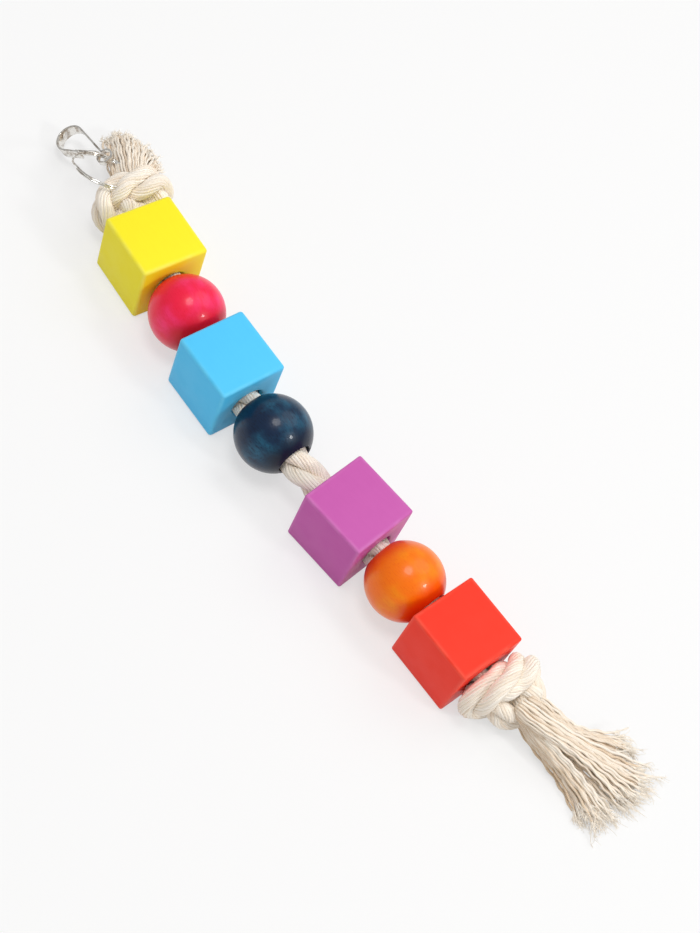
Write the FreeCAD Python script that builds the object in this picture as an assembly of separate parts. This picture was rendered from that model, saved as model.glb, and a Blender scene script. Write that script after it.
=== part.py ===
import FreeCAD, Part

import math
import os

from FreeCAD import Vector

# A hanging block toy for a pet bird, lying on a table: seven wooden beads on a three-strand cotton
# rope, an overhand knot and a frayed tassel at each end, and a split ring with a small snap hook.
# Millimetres. +X runs along the rope towards the long tassel, +Z is up.

# Beads: wooden cubes and balls, each drilled through its middle.
block_edge = 25.0
block_corner_radius = 1.0
ball_diameter = 26.0
bore_diameter = 12.0
bore_chamfer = 0.5
bead_play = 0.25  # how far a bead's middle may lie off the rope's, up or down

# The string of beads, from the hook end: name, form, heading in degrees, free rope after it.
bead_string = [
    ("yellow_block", "block", -3.9, 0.9),
    ("pink_ball", "ball", -9.8, 1.4),
    ("blue_block", "block", -1.3, 2.4),
    ("navy_ball", "ball", 1.3, 14.2),
    ("purple_block", "block", 5.5, 2.2),
    ("orange_ball", "ball", 3.3, 1.1),
    ("red_block", "block", 0.7, 0.0),
]

string_start = Vector(-82.7, 0.0, 0.0)  # middle of the first bead, from the floor

# Rope: soft cotton, squeezed flat against itself in the knots.
rope_diameter = 10.5
knot_clearance = 0.3  # knot to the face of the block beside it
knot_rope_diameter = 10.0
knot_middle_swell = 0.16  # how much thicker the rope is in the middle of a knot
top_knot_pitch = Vector(6.3, 6.5, 6.3)  # from pass to pass in a knot: along, across and up
bottom_knot_pitch = Vector(8.0, 6.5, 5.8)
arc_share = 0.45  # of the shorter run, taken up by the arc at a point of a route
seam_tolerance = 0.01

# Half of an overhand knot's route in knot pitches, after the point where the rope comes in: along
# the rope, across it and up. The other half is the same, turned half round the knot's upright
# middle line.
knot_half_route = [
    (0.2, -0.6, -0.6),
    (0.7, 0.1, -1.25),
    (0.8, 1.2, -0.95),
    (0.5, 1.65, -0.05),
    (0.2, 1.0, 0.8),
    (0.0, 0.0, 0.9),
]

# Each knot: where the rope comes in and goes out, in knot pitches across it, turn of its upper
# pass across the rope, lean of its top away from the block, heading of the rope's end in it,
# length of that end and its drop towards the table.
top_knot_shape = {
    "entry": -0.8, "leave": -0.45, "turn": 13.0, "lean": 0.45, "exit": 128.0, "run": 4.5, "drop": 2.6
}
bottom_knot_shape = {
    "entry": -0.2, "leave": -0.45, "turn": 15.0, "lean": -0.4, "exit": 16.0, "run": 3.5, "drop": 0.5
}

# Tassels: bundles of yarn that leave the knot side by side and fan out down to the table.
tuft_diameter = 3.2
tuft_gap = 0.15
tuft_straight_share = 0.42  # of a tuft's length, before it turns to its own heading
tuft_length_spread = 0.16  # how much shorter the shortest tuft is
# Each tassel: where it starts from the rope's end in its knot, its heading there and its rows of
# tufts from the lowest: headings of the first and last, length. Then how many tufts a row has.
top_tassel_start = Vector(2.6, -4.0, -2.1)
top_tassel_heading = 140.0
top_tassel_rows = [
    (98.0, 156.0, 29.0),
    (102.0, 152.0, 26.0),
]
top_tassel_tufts = (4, 4)
bottom_tassel_start = Vector(-4.0, -5.0, 0.25)
bottom_tassel_heading = 11.0
bottom_tassel_rows = [
    (-9.0, 44.0, 50.0),
    (-12.0, 46.0, 52.0),
    (-8.0, 42.0, 48.0),
    (0.0, 34.0, 40.0),
]
bottom_tassel_tufts = (4, 4, 4, 3)

# Split ring: two turns of wire that cross over once.
ring_wire_diameter = 0.75
ring_turn_pitch = 0.7
ring_radius = 10.75  # to the middle of the wire
ring_crossing_angle = 24.0
ring_end_gap_angle = 3.0
ring_from_rope = Vector(-21.63, 2.03, 5.75)  # its middle, from where the rope leaves the block
ring_normal = Vector(-0.191, 0.414, 0.890)
ring_toward_knot = Vector(0.778, 0.616, -0.119)
ring_channel_clearance = 0.35
ring_crossing_place = 205.0
ring_eye_angle = 96.0  # where the hook's eye hangs on the ring

# Snap hook: a steel strip bent to a bow and an eye, pinched between them, and its leaf gate.
strip_width = 4.2
strip_eye_width = 1.8
strip_thickness = 0.7
bow_radius = 5.0  # to the middle of the strip
eye_radius = 2.5
eye_to_bow = 17.5
neck_reach = 2.5  # from the middle of the eye
neck_half_gap = 0.9  # between the middles of the strips
nose_length = 6.5
tab_length = 1.3
gate_width = 3.0
gate_thickness = 0.4
gate_root_reach = 3.45  # from the middle of the eye
gate_root_radius = 0.42
gate_nose_overlap = 2.2
gate_clearance = 0.2
hook_axis = Vector(-0.893, -0.117, -0.434)
hook_loop_normal = Vector(-0.333, -0.485, 0.808)


def heading_vector(degrees):
    return Vector(math.cos(math.radians(degrees)), math.sin(math.radians(degrees)), 0)


def unit(vector):
    result = Vector(vector)
    result.normalize()
    return result


# Beads


def half_height(form):
    return block_edge / 2 if form == "block" else ball_diameter / 2


def half_length(form):
    if form == "block":
        return block_edge / 2
    return math.sqrt((ball_diameter / 2) ** 2 - (bore_diameter / 2) ** 2)


rope_height = max(half_height(form) for _, form, _, _ in bead_string) - bead_play


def string_places():
    """Middle of each bead along the rope, and the rope's points half way between the beads."""
    middle = Vector(string_start.x, string_start.y, rope_height)
    places = {}
    joints = []
    previous = None
    for name, form, heading, free in bead_string:
        if previous:
            half, direction, gap = previous
            joint = middle + direction * (half + gap / 2)
            joints.append(joint)
            middle = joint + heading_vector(heading) * (gap / 2 + half_length(form))
        places[name] = middle
        previous = (half_length(form), heading_vector(heading), free)
    return places, joints


def bored(solid, length):
    """The bead along X with its drilled hole and the small chamfers at the hole's two mouths."""
    radius = bore_diameter / 2
    half = length / 2
    bore = Part.makeCylinder(radius, 2 * length, Vector(-length, 0, 0), Vector(1, 0, 0))
    solid = solid.cut(bore)
    for side in (-1, 1):
        mouth = Part.makeCone(
            radius,
            radius + 2 * bore_chamfer,
            2 * bore_chamfer,
            Vector(side * (half - bore_chamfer), 0, 0),
            Vector(side, 0, 0),
        )
        solid = solid.cut(mouth)
    return solid


def block():
    half = block_edge / 2
    cube = Part.makeBox(block_edge, block_edge, block_edge, Vector(-half, -half, -half))
    return bored(cube.makeFillet(block_corner_radius, cube.Edges), block_edge)


def ball():
    sphere = Part.makeSphere(ball_diameter / 2)
    sphere.rotate(Vector(0, 0, 0), Vector(0, 1, 0), 90)
    return bored(sphere, 2 * half_length("ball"))


def bead(form, heading, middle):
    solid = block() if form == "block" else ball()
    solid.rotate(Vector(0, 0, 0), Vector(0, 0, 1), heading)
    height = max(half_height(form), rope_height - bead_play)
    solid.translate(Vector(middle.x, middle.y, height))
    return solid


# Rope


def rounded_path(points):
    """Straight runs joined by arcs that touch them."""
    edges = []
    start = points[0]
    radii = []
    for before, corner, after in zip(points, points[1:], points[2:]):
        back = before - corner
        ahead = after - corner
        reach = arc_share * min(back.Length, ahead.Length)
        back = unit(back)
        ahead = unit(ahead)
        turn = math.pi - back.getAngle(ahead)
        radius = reach / math.tan(turn / 2)
        radii.append(radius)
        inward = unit(back + ahead)
        middle = corner + inward * (radius / math.cos(turn / 2) - radius)
        first = corner + back * reach
        last = corner + ahead * reach
        edges.append(Part.LineSegment(start, first).toShape())
        edges.append(Part.Arc(first, middle, last).toShape())
        start = last
    edges.append(Part.LineSegment(start, points[-1]).toShape())
    return Part.Wire(edges), radii


def tube(points, diameter, name):
    """A round tube along a route; prints its arcs' radii and how its volume compares."""
    path, radii = rounded_path(points)
    start = unit(points[1] - points[0])
    circle = Part.Wire(Part.makeCircle(diameter / 2, points[0], start))
    solid = path.makePipeShell([circle], True, False)
    expected = math.pi * diameter**2 / 4 * path.Length
    print(
        name,
        "length %.1f" % path.Length,
        "least radius %.1f" % min(radii),
        "volume ratio %.4f" % (solid.Volume / expected),
    )
    return solid


def rope(places, joints):
    first, last = rope_ends(places)
    return tube([first] + joints + [last], rope_diameter, "rope")


def rope_ends(places):
    """Where the rope leaves the outer faces of the first and the last bead."""
    reach = block_edge / 2 + knot_clearance
    first = places[bead_string[0][0]] - heading_vector(bead_string[0][2]) * reach
    last = places[bead_string[-1][0]] + heading_vector(bead_string[-1][2]) * reach
    return first, last


# Knots


def knot_route(face, heading, outward, pitch, shape):
    """From the block's face round the knot and out; the knot's outermost pass lies by the face."""
    half = [(-0.7, shape["entry"], 0.0)] + knot_half_route
    other = [(-along, -across, up) for along, across, up in reversed(knot_half_route[:-1])]
    other.append((0.7, -shape["leave"], 0.0))
    turn = math.radians(shape["turn"])
    places = []
    for along, across, up in half + other:
        x = along * pitch.x
        y = across * pitch.y
        z = up * pitch.z
        turned_x = x * math.cos(turn) - y * math.sin(turn) + shape["lean"] * z
        turned_y = x * math.sin(turn) + y * math.cos(turn)
        places.append(Vector(turned_x, turned_y, z))
    nearest = min(place.x for place in places[1:])
    depth = knot_rope_diameter / 2 - nearest
    along_rope = heading_vector(heading) * outward
    across_rope = heading_vector(heading + 90)
    points = [face]
    for place in places:
        along = depth + place.x
        across = place.y - places[0].y
        points.append(face + along_rope * along + across_rope * across + Vector(0, 0, place.z))
    leaving = heading_vector(shape["exit"]) * shape["run"] - Vector(0, 0, shape["drop"])
    points.append(points[-1] + leaving)
    return points


def sweep(edges, diameter):
    path = Part.Wire(edges)
    first = edges[0]
    start = first.valueAt(first.FirstParameter)
    along = first.tangentAt(first.FirstParameter)
    circle = Part.Wire(Part.makeCircle(diameter / 2, start, along))
    return path.makePipeShell([circle], True, False)


def knot(route):
    """The rope's passes, swept in three spans and pressed into one lump."""
    path, _ = rounded_path(route)
    edges = path.OrderedEdges
    third = len(edges) // 3
    first = sweep(edges[:third], knot_rope_diameter)
    middle = sweep(edges[third : 2 * third], knot_rope_diameter + knot_middle_swell)
    last = sweep(edges[2 * third :], knot_rope_diameter)
    return first.fuse(middle).fuse(last)


# Tassels


def tassel(neck, exit_heading, rows, counts):
    """Tufts in rows across the neck: each has a straight run, a bend and a run down the fan."""
    pitch = tuft_diameter + tuft_gap
    out = heading_vector(exit_heading)
    side = Vector(-out.y, out.x, 0)
    longest = max(length for _, _, length in rows)
    straight = longest * tuft_straight_share
    lowest = neck.z - (len(rows) - 1) / 2 * pitch
    slope = (lowest - tuft_diameter / 2) / (rows[0][2] - straight)
    tufts = []
    for row, (first_heading, last_heading, length) in enumerate(rows):
        count = counts[row]
        for number in range(count):
            offset = (number - (count - 1) / 2) * pitch
            heading = first_heading + (last_heading - first_heading) * number / (count - 1)
            shorter = tuft_length_spread * (0.5 + 0.5 * math.sin(2.4 * number + row))
            start = neck + side * offset + Vector(0, 0, lowest - neck.z + row * pitch)
            bend = start + out * straight
            run = length * (1 - shorter) - straight
            tip = bend + heading_vector(heading) * run - Vector(0, 0, slope * run)
            path, _ = rounded_path([start, bend, tip])
            tufts.append(sweep(path.OrderedEdges, tuft_diameter))
    return Part.makeCompound(tufts)


# Split ring


def placement(x, z, origin):
    """Lays a piece drawn about its own X and Z at its place on the toy."""
    z = unit(z)
    x = unit(x - z * x.dot(z))
    y = z.cross(x)
    matrix = FreeCAD.Matrix(
        x.x, y.x, z.x, origin.x, x.y, y.y, z.y, origin.y, x.z, y.z, z.z, origin.z, 0, 0, 0, 1
    )
    return FreeCAD.Placement(matrix)


ring_centre = rope_ends(string_places()[0])[0] + ring_from_rope
ring_place = placement(ring_toward_knot, ring_normal, ring_centre)


def ring_point(angle):
    turned = math.radians(angle)
    point = Vector(ring_radius * math.cos(turned), ring_radius * math.sin(turned), 0)
    return ring_place.multVec(point)


def wire_section(angle, height):
    turned = math.radians(angle)
    centre = Vector(ring_radius * math.cos(turned), ring_radius * math.sin(turned), height)
    along = Vector(-math.sin(turned), math.cos(turned), 0)
    return Part.Wire(Part.makeCircle(ring_wire_diameter / 2, centre, along))


def split_ring():
    """Two flat turns, one on the other, joined where the wire crosses from one to the other."""
    level = ring_turn_pitch / 2
    half = ring_crossing_angle / 2
    flat = 360 - ring_crossing_angle - ring_end_gap_angle
    lower = Part.Face(wire_section(half + ring_end_gap_angle, -level))
    lower = lower.revolve(Vector(0, 0, 0), Vector(0, 0, 1), flat)
    upper = Part.Face(wire_section(half, level))
    upper = upper.revolve(Vector(0, 0, 0), Vector(0, 0, 1), flat)
    steps = 6
    sections = []
    for step in range(steps + 1):
        share = step / steps
        height = -level * math.cos(math.pi * share)
        sections.append(wire_section(-half + ring_crossing_angle * share, height))
    crossing = Part.makeLoft(sections, True, False)
    ring = lower.fuse([crossing], seam_tolerance).fuse([upper], seam_tolerance)
    ring.rotate(Vector(0, 0, 0), Vector(0, 0, 1), ring_crossing_place)
    ring.Placement = ring_place.multiply(ring.Placement)
    return ring


def ring_channel():
    """The way that the ring has opened through the knot."""
    reach = ring_turn_pitch / 2 + ring_wire_diameter / 2 + ring_channel_clearance
    channel = Part.makeTorus(ring_radius, reach)
    channel.Placement = ring_place
    return channel


# Snap hook, drawn with its eye's middle at the origin, X to the tip and Y to the gate's side


hook_place = placement(hook_axis, hook_loop_normal, ring_point(ring_eye_angle))


def around(centre, radius, angle):
    return centre + Vector(math.cos(angle), math.sin(angle), 0) * radius


def bow_touch(side):
    """Where the leg from the neck touches the bow, and the angle of that point round the bow."""
    neck = Vector(neck_reach, side * neck_half_gap, 0)
    bow = Vector(eye_to_bow, 0, 0)
    distance = (bow - neck).Length
    aim = math.atan2(bow.y - neck.y, bow.x - neck.x)
    leg = aim + side * math.asin(bow_radius / distance)
    touch = around(neck, math.sqrt(distance**2 - bow_radius**2), leg)
    return touch, math.atan2(touch.y - bow.y, touch.x - bow.x)


def strip_solid(edges, width, thickness):
    path = Part.Wire(edges)
    first = edges[0]
    start = first.valueAt(first.FirstParameter)
    along = first.tangentAt(first.FirstParameter)
    flat = Vector(-along.y, along.x, 0) * (thickness / 2)
    up = Vector(0, 0, width / 2)
    corners = [start + flat + up, start - flat + up, start - flat - up, start + flat - up]
    section = Part.makePolygon(corners + corners[:1])
    return path.makePipeShell([section], True, False)


def hook_body():
    """Tab, eye, back leg, bow and nose in one strip; the strip narrows towards the eye."""
    bow = Vector(eye_to_bow, 0, 0)
    neck = Vector(neck_reach, neck_half_gap, 0)
    corner = eye_radius / math.cos(math.radians(30))
    eye_corners = [around(Vector(), corner, math.radians(angle)) for angle in (60, 120, 180, 240, 300)]
    back_touch, back = bow_touch(-1)
    front_touch, front = bow_touch(1)
    points = [neck + Vector(tab_length, 0, 0), neck] + eye_corners
    points += [Vector(neck_reach, -neck_half_gap, 0), back_touch]
    path, _ = rounded_path(points)
    nose = unit(neck - front_touch)
    edges = path.OrderedEdges + [
        Part.Arc(back_touch, around(bow, bow_radius, 0), front_touch).toShape(),
        Part.LineSegment(front_touch, front_touch + nose * nose_length).toShape(),
    ]
    strip = strip_solid(edges, strip_width, strip_thickness)
    side = strip_width / 2
    narrow = strip_eye_width / 2
    reach = eye_radius + strip_thickness
    taper_end = reach + 5.0
    for up in (-1, 1):
        corners = [
            Vector(-2 * reach, -4 * reach, up * narrow),
            Vector(reach, -4 * reach, up * narrow),
            Vector(taper_end, -4 * reach, up * side),
            Vector(taper_end, -4 * reach, up * 2 * side),
            Vector(-2 * reach, -4 * reach, up * 2 * side),
        ]
        face = Part.Face(Part.makePolygon(corners + corners[:1]))
        strip = strip.cut(face.extrude(Vector(0, 8 * reach, 0)))
    strip.Placement = hook_place
    return strip


def hook_gate():
    """A leaf from its rolled root in the neck to the inside of the nose."""
    touch, _ = bow_touch(1)
    nose = unit(Vector(neck_reach, neck_half_gap, 0) - touch)
    inward = Vector(-nose.y, nose.x, 0)
    drop = strip_thickness / 2 + gate_clearance + gate_thickness / 2
    end = touch + nose * (nose_length - gate_nose_overlap) + inward * drop
    root = Vector(gate_root_reach, 0, 0)
    leaf = strip_solid([Part.LineSegment(root, end).toShape()], gate_width, gate_thickness)
    roll_width = strip_eye_width
    roll = Part.makeCylinder(
        gate_root_radius, roll_width, root - Vector(0, 0, roll_width / 2), Vector(0, 0, 1)
    )
    gate = leaf.fuse(roll)
    gate.Placement = hook_place
    return gate


def centring(nodes):
    """The shift that puts the middle of the whole toy over the origin and its lowest point on it."""
    box = FreeCAD.BoundBox()
    for shape in nodes.values():
        box.add(shape.optimalBoundingBox(False, False))
    return Vector(-(box.XMin + box.XMax) / 2, -(box.YMin + box.YMax) / 2, -box.ZMin)


def build():
    places, joints = string_places()
    nodes = {}
    for name, form, heading, _ in bead_string:
        nodes[name] = bead(form, heading, places[name])
    nodes["rope"] = rope(places, joints)
    first, last = rope_ends(places)
    top = knot_route(first, bead_string[0][2], -1, top_knot_pitch, top_knot_shape)
    bottom = knot_route(last, bead_string[-1][2], 1, bottom_knot_pitch, bottom_knot_shape)
    channel = ring_channel()
    nodes["top_knot"] = knot(top).cut(nodes["rope"]).cut(channel)
    nodes["bottom_knot"] = knot(bottom).cut(nodes["rope"])
    tufts = tassel(top[-1] + top_tassel_start, top_tassel_heading, top_tassel_rows, top_tassel_tufts)
    nodes["top_tassel"] = tufts.cut(nodes["top_knot"]).cut(channel)
    neck = bottom[-1] + bottom_tassel_start
    tufts = tassel(neck, bottom_tassel_heading, bottom_tassel_rows, bottom_tassel_tufts)
    nodes["bottom_tassel"] = tufts.cut(nodes["bottom_knot"])
    nodes["split_ring"] = split_ring()
    nodes["snap_hook"] = hook_body()
    nodes["hook_gate"] = hook_gate()
    return nodes


os.makedirs("parts", exist_ok=True)
nodes = build()
shift = centring(nodes)
for name, shape in nodes.items():
    shape.translate(shift)
    print(name, shape.isValid(), len(shape.Solids), "volume %.1f" % shape.Volume)
    shape.exportStep("parts/" + name + ".step")
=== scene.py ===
import math
import random

import bpy
import numpy as np
from mathutils import Matrix, Vector


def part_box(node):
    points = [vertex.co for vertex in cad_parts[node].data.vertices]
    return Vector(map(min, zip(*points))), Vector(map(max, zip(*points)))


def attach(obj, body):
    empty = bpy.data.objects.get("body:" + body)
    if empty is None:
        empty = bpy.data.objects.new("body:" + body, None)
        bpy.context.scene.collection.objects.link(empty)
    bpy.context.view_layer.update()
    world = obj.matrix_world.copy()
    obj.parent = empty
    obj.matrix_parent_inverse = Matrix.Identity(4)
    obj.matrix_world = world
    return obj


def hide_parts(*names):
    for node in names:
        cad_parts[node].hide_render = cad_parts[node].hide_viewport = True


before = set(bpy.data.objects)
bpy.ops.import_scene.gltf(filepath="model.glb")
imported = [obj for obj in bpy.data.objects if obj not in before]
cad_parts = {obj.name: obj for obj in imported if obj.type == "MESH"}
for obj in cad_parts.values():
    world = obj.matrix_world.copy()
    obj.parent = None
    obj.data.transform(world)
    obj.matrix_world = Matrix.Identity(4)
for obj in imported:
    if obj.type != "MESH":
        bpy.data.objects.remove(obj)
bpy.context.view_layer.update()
MM = 0.001

# Table, light and camera
# The toy lies on a white table under a large soft box behind it, a smaller one above and a small
# lamp at the side. The camera looks down on it, turned so that the toy runs across the picture.

red_block_low, red_block_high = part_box("red_block")
frame_shift = (Vector(red_block_low) + Vector(red_block_high)) / 2 - Vector((0.08271, 0, 0.0125))
frame_shift.z = 0

camera_place = Vector((0.15403, -0.25374, 0.46687)) + frame_shift
camera_right = Vector((0.60174, 0.75665, 0.25570))
camera_up = Vector((-0.75702, 0.43826, 0.48462))
camera_back = camera_right.cross(camera_up)
lens_mm = 64.73

camera_data = bpy.data.cameras.new("camera")
camera_data.sensor_width = 36
camera_data.lens = lens_mm
camera_data.clip_start = 0.01
camera = bpy.data.objects.new("camera", camera_data)
bpy.context.scene.collection.objects.link(camera)
turn = Matrix((camera_right, camera_up, camera_back)).transposed().to_4x4()
camera.matrix_world = Matrix.Translation(camera_place) @ turn
bpy.context.scene.camera = camera
bpy.context.scene.view_settings.view_transform = "Standard"


def add_lamp(name, toward, distance, size, power, colour):
    data = bpy.data.lights.new(name, "AREA")
    data.shape = "DISK"
    data.size = size
    data.energy = power
    data.color = colour
    lamp = bpy.data.objects.new(name, data)
    bpy.context.scene.collection.objects.link(lamp)
    toward = Vector(toward).normalized()
    lamp.location = toward * distance
    lamp.rotation_euler = toward.to_track_quat("Z", "Y").to_euler()


add_lamp("back_soft_box", (0.05, 0.60, 0.80), 1.3, 1.0, 3.6, (1.0, 0.995, 0.98))
add_lamp("top_soft_box", (-0.08, -0.06, 1.0), 1.3, 0.50, 5.2, (1.0, 1.0, 1.0))
add_lamp("small_lamp", (0.75, 0.24, 0.62), 1.2, 0.18, 3.4, (1.0, 1.0, 1.0))

world = bpy.data.worlds.new("studio")
bpy.context.scene.world = world
world.use_nodes = True
nodes = world.node_tree.nodes
links = world.node_tree.links
room = nodes["Background"]
room.inputs["Color"].default_value = (1.0, 0.99, 0.98, 1.0)
seen_room = nodes.new("ShaderNodeBackground")
seen_room.inputs["Strength"].default_value = 1.0
room.inputs["Strength"].default_value = 0.45
rays = nodes.new("ShaderNodeLightPath")
seen = nodes.new("ShaderNodeMath")
seen.operation = "MAXIMUM"
mixed = nodes.new("ShaderNodeMixShader")
links.new(rays.outputs["Is Camera Ray"], seen.inputs[0])
links.new(rays.outputs["Is Transmission Ray"], seen.inputs[1])
links.new(seen.outputs[0], mixed.inputs["Fac"])
links.new(room.outputs[0], mixed.inputs[1])
links.new(seen_room.outputs[0], mixed.inputs[2])
links.new(mixed.outputs[0], nodes["World Output"].inputs["Surface"])


def new_material(name):
    made = bpy.data.materials.new(name)
    made.use_nodes = True
    return made, made.node_tree.nodes, made.node_tree.links, made.node_tree.nodes["Principled BSDF"]


bpy.ops.object.select_all(action="DESELECT")
bpy.ops.mesh.primitive_plane_add(size=6.0, location=(0, 0, 0))
table = bpy.context.object
table.name = "table"
bpy.ops.object.mode_set(mode="EDIT")
bpy.ops.mesh.subdivide(number_cuts=4)
bpy.ops.object.mode_set(mode="OBJECT")
table_material, nodes, links, shader = new_material("white_table")
shader.inputs["Roughness"].default_value = 0.9
shader.inputs["Specular IOR Level"].default_value = 0.1
rays = nodes.new("ShaderNodeLightPath")
seen = nodes.new("ShaderNodeMath")
seen.operation = "MAXIMUM"
links.new(rays.outputs["Is Camera Ray"], seen.inputs[0])
links.new(rays.outputs["Is Glossy Ray"], seen.inputs[1])
tint = nodes.new("ShaderNodeMix")
tint.data_type = "RGBA"
tint.inputs["A"].default_value = (0.86, 0.86, 0.86, 1.0)
tint.inputs["B"].default_value = (0.36, 0.36, 0.36, 1.0)
links.new(seen.outputs[0], tint.inputs["Factor"])
links.new(tint.outputs["Result"], shader.inputs["Base Color"])
glow = nodes.new("ShaderNodeEmission")
glow.inputs["Color"].default_value = (1.0, 1.0, 1.0, 1.0)
glow_seen = nodes.new("ShaderNodeMath")
glow_seen.operation = "MULTIPLY"
glow_seen.inputs[1].default_value = 0.59
links.new(seen.outputs[0], glow_seen.inputs[0])
links.new(glow_seen.outputs[0], glow.inputs["Strength"])
both = nodes.new("ShaderNodeAddShader")
links.new(shader.outputs[0], both.inputs[0])
links.new(glow.outputs[0], both.inputs[1])
links.new(both.outputs[0], nodes["Material Output"].inputs["Surface"])
table.data.materials.append(table_material)


# Painted blocks
# Four 25 mm cubes of pale hardwood, sawn square, drilled through for the rope, their edges broken
# with sandpaper, then dipped in opaque water paint that dries to a satin film.

block_edge = 25.0 * MM
bore_diameter = 12.0 * MM
bead_segments = 64
bore_mouth_rounding = 0.45 * MM


def bead_middle(name):
    low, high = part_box(name)
    return (Vector(low) + Vector(high)) / 2


def smooth_piece(piece, angle):
    bpy.ops.object.select_all(action="DESELECT")
    piece.select_set(True)
    bpy.context.view_layer.objects.active = piece
    bpy.ops.object.shade_smooth_by_angle(angle=math.radians(angle))


def settle(piece):
    """Puts the piece's place and turn into its mesh."""
    bpy.ops.object.select_all(action="DESELECT")
    piece.select_set(True)
    bpy.context.view_layer.objects.active = piece
    bpy.ops.object.transform_apply(location=True, rotation=True, scale=True)


def apply_modifiers(piece):
    bpy.context.view_layer.objects.active = piece
    for modifier in list(piece.modifiers):
        bpy.ops.object.modifier_apply(modifier=modifier.name)


def local_vector(nodes, links, centre, heading):
    """Object coordinates turned into the bead's own: from its middle, with X along its bore."""
    coordinates = nodes.new("ShaderNodeTexCoord")
    mapping = nodes.new("ShaderNodeMapping")
    mapping.vector_type = "TEXTURE"
    mapping.inputs["Location"].default_value = centre
    mapping.inputs["Rotation"].default_value = (0, 0, math.radians(heading))
    links.new(coordinates.outputs["Object"], mapping.inputs["Vector"])
    return mapping.outputs["Vector"]


def new_group(name, inputs, outputs):
    group = bpy.data.node_groups.new(name, "ShaderNodeTree")
    for socket, kind, value in inputs:
        made = group.interface.new_socket(name=socket, in_out="INPUT", socket_type=kind)
        if value is not None:
            made.default_value = value
    for socket, kind in outputs:
        group.interface.new_socket(name=socket, in_out="OUTPUT", socket_type=kind)
    start = group.nodes.new("NodeGroupInput")
    end = group.nodes.new("NodeGroupOutput")
    return group, start, end


def math_node(tree, operation, first, second=None, third=None):
    node = tree.nodes.new("ShaderNodeMath")
    node.operation = operation
    for socket, value in zip(node.inputs, (first, second, third)):
        if value is None:
            continue
        if isinstance(value, (int, float)):
            socket.default_value = value
        else:
            tree.links.new(value, socket)
    return node.outputs[0]


def noise_node(tree, vector, scale, detail, stretch=(1, 1, 1), roughness=0.5):
    mapping = tree.nodes.new("ShaderNodeMapping")
    mapping.inputs["Scale"].default_value = stretch
    tree.links.new(vector, mapping.inputs["Vector"])
    noise = tree.nodes.new("ShaderNodeTexNoise")
    noise.inputs["Scale"].default_value = scale
    noise.inputs["Detail"].default_value = detail
    noise.inputs["Roughness"].default_value = roughness
    tree.links.new(mapping.outputs["Vector"], noise.inputs["Vector"])
    return noise.outputs[0]


def blend_colours(tree, mask, first, second):
    node = tree.nodes.new("ShaderNodeMix")
    node.data_type = "RGBA"
    tree.links.new(mask, node.inputs["Factor"])
    for socket, value in ((node.inputs["A"], first), (node.inputs["B"], second)):
        if isinstance(value, tuple):
            socket.default_value = value
        else:
            tree.links.new(value, socket)
    return node.outputs["Result"]


def range_node(tree, value, low, high, first=0.0, last=1.0):
    node = tree.nodes.new("ShaderNodeMapRange")
    node.interpolation_type = "SMOOTHSTEP"
    node.inputs["From Min"].default_value = low
    node.inputs["From Max"].default_value = high
    node.inputs["To Min"].default_value = first
    node.inputs["To Max"].default_value = last
    tree.links.new(value, node.inputs["Value"])
    return node.outputs["Result"]


painted_wood, start, end = new_group(
    "painted_wood",
    [
        ("Vector", "NodeSocketVector", None),
        ("Paint", "NodeSocketColor", None),
        ("Thin Paint And Edge Highlight", "NodeSocketColor", None),
        ("Deep Paint", "NodeSocketColor", None),
        ("Half Edge", "NodeSocketFloat", None),
    ],
    [
        ("Color", "NodeSocketColor"),
        ("Roughness", "NodeSocketFloat"),
        ("Height", "NodeSocketFloat"),
    ],
)
tree = painted_wood
grain = noise_node(tree, start.outputs["Vector"], 1.0, 4.0, (90, 1500, 1500), 0.6)
cloud = noise_node(tree, start.outputs["Vector"], 150.0, 3.0)
peel = noise_node(tree, start.outputs["Vector"], 900.0, 2.0)
split = tree.nodes.new("ShaderNodeSeparateXYZ")
tree.links.new(start.outputs["Vector"], split.inputs["Vector"])
near = []
for axis in "XYZ":
    reach = math_node(tree, "ABSOLUTE", split.outputs[axis])
    inner = math_node(tree, "SUBTRACT", start.outputs["Half Edge"], reach)
    near.append(range_node(tree, inner, 0.0016, 0.0003))
pairs = math_node(tree, "MULTIPLY", near[0], near[1])
pairs = math_node(tree, "MAXIMUM", pairs, math_node(tree, "MULTIPLY", near[1], near[2]))
pairs = math_node(tree, "MAXIMUM", pairs, math_node(tree, "MULTIPLY", near[0], near[2]))
# Every edge blends towards the thin paint colour. This is partly paint worn thin on the sanded edges and
# partly a painted highlight along the edges.
thin_paint_and_edge_highlight = math_node(tree, "MULTIPLY", pairs, range_node(tree, cloud, 0.35, 0.65, 0.1, 0.4))
shade = range_node(tree, math_node(tree, "ADD", grain, cloud), 0.8, 1.25, 0.0, 0.10)
colour = blend_colours(tree, shade, start.outputs["Paint"], start.outputs["Deep Paint"])
colour = blend_colours(tree, thin_paint_and_edge_highlight, colour, start.outputs["Thin Paint And Edge Highlight"])
tree.links.new(colour, end.inputs["Color"])
tree.links.new(range_node(tree, cloud, 0.3, 0.7, 0.38, 0.48), end.inputs["Roughness"])
grain_height = math_node(tree, "MULTIPLY", grain, 0.7)
peel_height = math_node(tree, "MULTIPLY", peel, 0.3)
height = math_node(tree, "ADD", grain_height, peel_height)
tree.links.new(height, end.inputs["Height"])


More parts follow.
